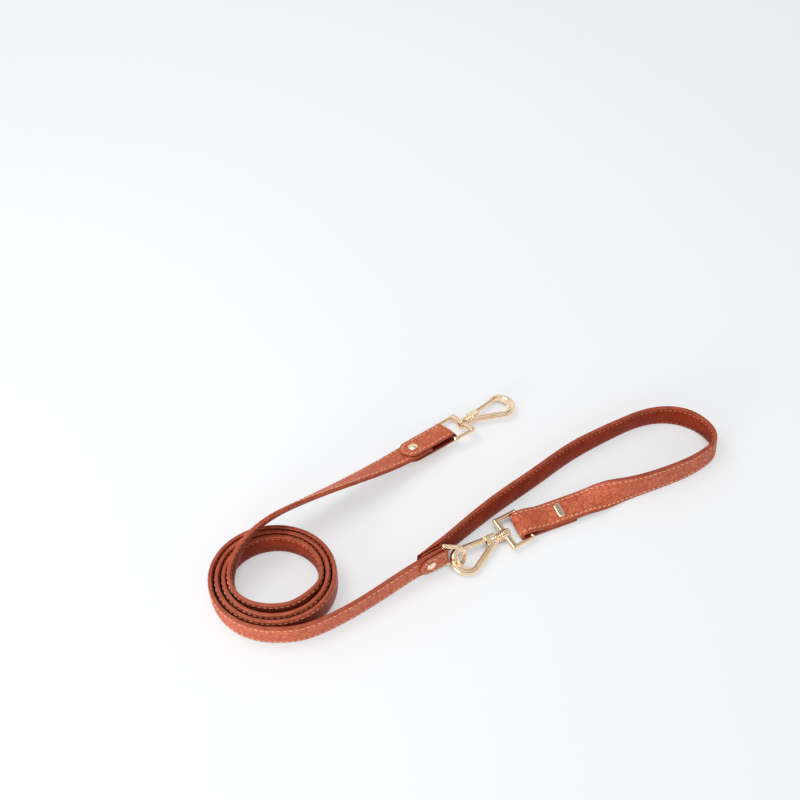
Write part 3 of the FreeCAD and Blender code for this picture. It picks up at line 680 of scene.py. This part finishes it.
def waxed_thread(name, light, dark):
    """Twisted thread, each stitch with its own tint."""
    n = Nodes(name)
    where = n.where()
    scale = n.attribute("scale")
    ply = n.noise(where, 5200.0, 3.0)
    colour = n.mix(n.ramp(scale, 0.0, 1.0, 0.0, 0.6), light, dark)
    colour = n.mix(n.ramp(ply, 0.4, 0.6, 0.0, 0.35), colour, dark)
    return n.finish(Base_Color=colour, Roughness=0.5, Normal=n.bump(ply, 0.6, 0.0001))


def gold_metal():
    """Polished pale gold plating, with its edges softened."""
    n = Nodes("gold_hardware_finish")
    where = n.where()
    cloud = n.noise(where, 90.0, 3.0)
    fine = n.noise(where, 1400.0, 4.0)
    colour = n.mix(n.ramp(cloud, 0.35, 0.65), GOLD, GOLD_WARM)
    soft = n.tree.nodes.new("ShaderNodeBevel")
    soft.samples = BEVEL_SAMPLES
    soft.inputs["Radius"].default_value = BEVEL
    normal = n.bump(fine, 0.03, 0.0001, soft.outputs["Normal"])
    return n.finish(Base_Color=colour, Metallic=1.0, Normal=normal,
                    Roughness=n.ramp(fine, 0.3, 0.7, 0.12, 0.2))


def steel_metal():
    """Plain steel of the gates' pins and springs."""
    n = Nodes("pin_steel")
    where = n.where()
    fine = n.noise(where, 1200.0, 4.0)
    return n.finish(Base_Color=(*STEEL, 1.0), Metallic=1.0,
                    Roughness=n.ramp(fine, 0.3, 0.7, 0.25, 0.4))


def floor_material():
    """Pale matt floor that glows softly, its glow cut off down narrow gaps to paint shade there."""
    n = Nodes("pale_floor")
    where = n.where()
    cloud = n.noise(where, 3.0, 2.0)
    colour = n.mix(cloud, *FLOOR_COLOURS)
    # painted shade: the floor's glow fades out where nearby leather covers it, so the gaps between the
    # coil's turns go dark
    open_sky = n.add("ShaderNodeAmbientOcclusion", Distance=GAP_REACH).outputs["AO"]
    gap_shaded_glow = n.ramp(open_sky, 0.10, 0.38, 0.0, FLOOR_GLOW_POWER)
    return n.finish(Base_Color=colour, Roughness=0.85, Specular_IOR_Level=0.0,
                    Emission_Color=FLOOR_GLOW, Emission_Strength=gap_shaded_glow)


outer_leather = embossed_leather()
inner_leather = lining_leather()
edge_paint = painted_edge()
thread = waxed_thread("waxed_thread", THREAD, THREAD_DARK)
dark_thread = waxed_thread("brown_thread", BROWN_THREAD, BROWN_THREAD_DARK)
gold = gold_metal()
steel = steel_metal()
LEATHERS = [outer_leather, edge_paint, inner_leather]    # by OUTER_KIND, EDGE_KIND, LINING_KIND


# ---------- the straps ----------
STITCH_ROW = HALF_WIDTH - STITCH_INSET       # from a strap's middle line to a row of stitches
STITCH_SUNK = STITCH_CHANNEL + ROLL * (1.0 - STITCH_INSET / HALF_WIDTH) ** 3


def stitched_rows(name, line, shown, first, last):
    """Stitches along both edges of one face of a strap, from first to last: 1 outer, -1 lining."""
    place, travel, across, face = line.stations(np.arange(first, last, STITCH_PITCH))
    out = face * shown
    groups = []
    for side in (-1.0, 1.0):
        middle = place + across * side * STITCH_ROW + out * (STRAP / 2 - STITCH_SUNK)
        groups.append((middle, travel, across * side, out))
    arrays = [np.vstack([group[k] for group in groups]) for k in range(4)]
    sewn = stitches(name, *arrays, thread if shown > 0 else dark_thread)
    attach(sewn, "leash")
    return sewn


def strap(name, line, seed, high, flat_first, flat_last):
    """Strap along a line, its back flat for given lengths at its two ends."""
    seam = STRAP / 2 - OUTER_LEATHER
    crown = np.clip((line.at - flat_first) / CROWN_FADE, 0.0, 1.0)
    crown = crown * np.clip((line.length - flat_last - line.at) / CROWN_FADE, 0.0, 1.0)
    made = strip(name, line.at, line.place, line.across, line.face, HALF_WIDTH,
                 -STRAP / 2, high, seam, seed, crown)
    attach(made, "leash")
    return made


FACES = (("outer", 1), ("lining", -1))
# Where the rows of stitches start, and how far short of the strap's end they stop.
MAIN_STITCHES_FROM, MAIN_STITCHES_SHORT = 0.022, 0.020
HANDLE_STITCHES_FROM, HANDLE_STITCHES_SHORT = 0.020, 0.004
main_strap = strap("main_strap", main_line, seed=11, high=STRAP / 2, flat_first=0.030,
                   flat_last=0.050)
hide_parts("main_strap_ring_run_outer", "main_strap_ring_run_lining", "main_strap_coil",
            "main_strap_hook_run_outer", "main_strap_hook_run_lining")
main_stitches = [
    stitched_rows("main_strap_stitches_" + word, main_line, shown, MAIN_STITCHES_FROM,
                  main_line.length - MAIN_STITCHES_SHORT)
    for word, shown in FACES
]

# The handle strap's first end is thinned where it is riveted behind the D-ring's tab.
SKIVED = 0.016
SKIVED_OFF = 0.0024
thinned = np.clip(1.0 - handle_line.at / SKIVED, 0.0, 1.0)
handle_strap = strap("handle_strap", handle_line, seed=23, high=STRAP / 2 - SKIVED_OFF * thinned,
                     flat_first=0.020, flat_last=0.140)
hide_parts("handle_strap_outer", "handle_strap_lining", "handle_end_fold_outer",
            "handle_end_fold_lining")
handle_stitches = [
    stitched_rows("handle_strap_stitches_" + word, handle_line, shown, HANDLE_STITCHES_FROM,
                  handle_line.length - HANDLE_STITCHES_SHORT)
    for word, shown in FACES
]


# ---------- folded tabs ----------
TAB_BEND_INSIDE = 0.0018
TAB_STEP = 0.0004
TAB_END_ROWS = 26
TAB_FIRST_ROW = 0.02             # in half turns round the tab's tip, so that no row is a point
LEG_GAP = 0.6 * STITCH_PITCH     # from the stitches round the tip to the first one along a leg
LEG_STITCHES_END = -0.001        # the rows along a leg stop this short of the bend


def fold_route(at, leg, radius):
    """X and Y of leather folded round the origin, and of its direction, at each distance."""
    bend = math.pi * radius
    rows = []
    for s in at:
        if s < leg:
            rows.append((s - leg, radius, 1.0, 0.0))
        elif s < leg + bend:
            away, down = math.sin((s - leg) / radius), math.cos((s - leg) / radius)
            rows.append((radius * away, radius * down, down, -away))
        else:
            rows.append((leg + bend - s, -radius, -1.0, 0.0))
    return np.array(rows)


def tab_stitches(name, origin, axes, leg, out_at):
    """Stitches round both half-round ends of a tab and along the edges of its legs."""
    x_axis, y_axis, z_axis = axes
    turn_count = int(math.pi * STITCH_ROW / STITCH_PITCH)
    legs = np.arange(-leg + HALF_WIDTH + LEG_GAP, LEG_STITCHES_END, STITCH_PITCH)
    places = []
    runs = []
    outs = []
    for sign in (1.0, -1.0):
        for k in range(turn_count + 1):
            angle = math.pi * (k + 0.5) / (turn_count + 1)
            x = -leg + HALF_WIDTH - STITCH_ROW * math.sin(angle)
            z = STITCH_ROW * math.cos(angle)
            places.append(origin + x_axis * x + y_axis * sign * out_at + z_axis * z)
            runs.append(x_axis * -math.cos(angle) - z_axis * math.sin(angle))
            outs.append(y_axis * sign)
        for x in legs:
            for side in (-1.0, 1.0):
                places.append(origin + x_axis * x + y_axis * sign * out_at + z_axis * side * STITCH_ROW)
                runs.append(x_axis)
                outs.append(y_axis * sign)
    runs = np.array(runs)
    outs = np.array(outs)
    return stitches(name, np.array(places), runs, np.cross(outs, runs), outs, thread)


def folded_tab(node, origin, towards_bar, along_bar, leg, leather, seed):
    """Leather that replaces a tab's node, folded round a bar at the origin, with its stitches."""
    origin = np.array(origin)
    x_axis = np.array(towards_bar) / np.linalg.norm(towards_bar)
    z_axis = np.array(along_bar) / np.linalg.norm(along_bar)
    y_axis = np.cross(z_axis, x_axis)
    radius = TAB_BEND_INSIDE + leather / 2
    length = 2 * leg + math.pi * radius
    tip = HALF_WIDTH
    ends = (1.0 - np.cos(np.linspace(TAB_FIRST_ROW, 0.5, TAB_END_ROWS) * math.pi)) * tip
    middle = np.arange(tip + TAB_STEP, length - tip, TAB_STEP)
    at = np.concatenate([ends, middle, (length - ends)[::-1]])
    x, y, dx, dy = fold_route(at, leg, radius).T[:, :, None]
    place = origin + x_axis * x + y_axis * y
    across = np.repeat(z_axis[None, :], len(at), 0)
    face = np.cross(across, x_axis * dx + y_axis * dy)
    from_end = np.minimum(at, length - at)
    round_end = np.sqrt(np.maximum(tip ** 2 - (tip - from_end) ** 2, 1e-9))
    half = np.where(from_end < tip, round_end, tip)
    made = strip(node + "_leather", at, place, across, face, half, -leather / 2, leather / 2,
                 leather / 2, seed, 0.0)
    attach(made, "leash")
    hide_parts(node)
    sewn = tab_stitches(node + "_leather_stitches", origin, (x_axis, y_axis, z_axis), leg,
                        radius + leather / 2 - STITCH_SUNK)
    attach(sewn, "leash")
    return made, sewn


# Each tab's bar: its middle, the way from the tab to it, and the way along it.
RING_BAR = ((-0.025115, -0.045366, 0.0135), (0.857, 0.515, 0.0), (-0.008994, 0.014956, 0.999848))
HOOK_BAR = ((-0.020586, 0.067575, 0.008973), (0.800683, 0.594055, -0.077485),
            (0.581196, -0.738874, 0.340992))
folded_tab("ring_tab", *RING_BAR, leg=0.022, leather=0.0018, seed=31)
hook_tab = folded_tab("hook_a_tab", *HOOK_BAR, leg=0.043, leather=0.0020, seed=41)

# ---------- hardware: the CAD pieces, with their metal ----------
GOLD_NODES = [
    "d_ring", "ring_rivet_cap", "ring_rivet_socket", "hook_a_rivet_cap", "hook_a_rivet_socket",
    "handle_stud", "eye_a", "eye_b", "hook_a", "hook_b", "hook_washer_a", "hook_washer_b",
    "gate_a", "gate_b",
]
STEEL_NODES = ["gate_pin_a", "gate_pin_b", "gate_spring_a", "gate_spring_b"]
for names, finish in ((GOLD_NODES, gold), (STEEL_NODES, steel)):
    for name in names:
        for holder in nodes[name].material_slots:
            holder.material = finish

# ---------- floor and light ----------
FLOOR = 3.0
corners = [(-FLOOR, -FLOOR, 0), (FLOOR, -FLOOR, 0), (FLOOR, FLOOR, 0), (-FLOOR, FLOOR, 0)]
floor_mesh = bpy.data.meshes.new("floor")
floor_mesh.from_pydata(corners, [], [(0, 1, 2, 3)])
floor_mesh.materials.append(floor_material())
floor = bpy.data.objects.new("floor", floor_mesh)
bpy.context.collection.objects.link(floor)

LIGHT_POWER = 7.0


def area_light(name, place, aim, size, colour):
    data = bpy.data.lights.new(name, "AREA")
    data.shape = "RECTANGLE"
    data.size = size[0]
    data.size_y = size[1]
    data.energy = LIGHT_POWER
    data.color = colour
    lamp = bpy.data.objects.new(name, data)
    lamp.location = place
    lamp.rotation_euler = (Vector(aim) - Vector(place)).to_track_quat("-Z", "Y").to_euler()
    bpy.context.collection.objects.link(lamp)


area_light("key_light", place=(-0.55, 0.10, 1.05), aim=(-0.02, 0.0, 0.0), size=(0.6, 0.6),
           colour=(1.0, 0.985, 0.96))
area_light("front_light", place=(-0.70, -0.90, 0.27), aim=(-0.05, 0.0, 0.01), size=(0.5, 0.25),
           colour=(1.0, 0.99, 0.98))

# The sky's brightness by the height that it is seen at, 0 at the horizon and 1 overhead.
SKY = ((0.0, 0.92), (0.07, 0.70), (0.16, 0.25), (0.30, 1.0), (0.60, 1.0), (0.74, 0.30), (0.88, 0.40),
       (1.0, 1.2))
SKY_TINT = (0.975, 0.985, 1.0)
world = bpy.data.worlds.new("studio")
bpy.context.scene.world = world
world.use_nodes = True
tree = world.node_tree
background = tree.nodes["Background"]
direction = tree.nodes.new("ShaderNodeTexCoord")
split = tree.nodes.new("ShaderNodeSeparateXYZ")
tree.links.new(direction.outputs["Generated"], split.inputs[0])
sky_ramp = tree.nodes.new("ShaderNodeValToRGB")
stops = sky_ramp.color_ramp.elements
while len(stops) < len(SKY):
    stops.new(0.5)
for stop, (height, shade) in zip(stops, SKY):
    stop.position = height
    stop.color = (*(shade * part for part in SKY_TINT), 1.0)
tree.links.new(split.outputs["Z"], sky_ramp.inputs[0])
tree.links.new(sky_ramp.outputs[0], background.inputs["Color"])
background.inputs["Strength"].default_value = 1.0
bpy.context.scene.view_settings.view_transform = "Standard"
